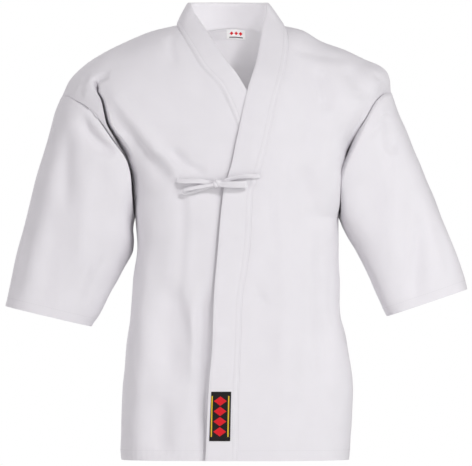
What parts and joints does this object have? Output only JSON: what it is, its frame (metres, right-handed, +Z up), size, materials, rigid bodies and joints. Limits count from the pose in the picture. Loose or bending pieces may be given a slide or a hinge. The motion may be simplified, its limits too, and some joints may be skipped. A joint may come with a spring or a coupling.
{
  "type": "kendo jacket",
  "caption": "White cotton kendo jacket in its worn shape, with a crossed front, a band collar, a bow tie at the chest and half sleeves.",
  "frame": {"origin": "middle of the neck opening, level with the shoulder points beside the collar", "axes": "+Z up along the wearer's spine, -Y to the wearer's front, +X to the wearer's left"},
  "size_m": [0.8128, 0.2542, 0.8046],
  "materials": {
    "cotton": "matt plain-woven white cotton",
    "band_cotton": "matt folded white cotton band",
    "label_white": "smooth woven label",
    "label_dark": "woven label"
  },
  "bodies": {
    "root": {"front_right": "cotton", "front_left": "cotton", "back": "cotton", "sleeve_right": "cotton", "sleeve_left": "cotton", "collar_band": "band_cotton", "tie_right": "band_cotton", "tie_left": "band_cotton", "bow_knot": "band_cotton", "neck_label": "label_white", "hem_label": "label_dark"}
  },
  "joints": []
}
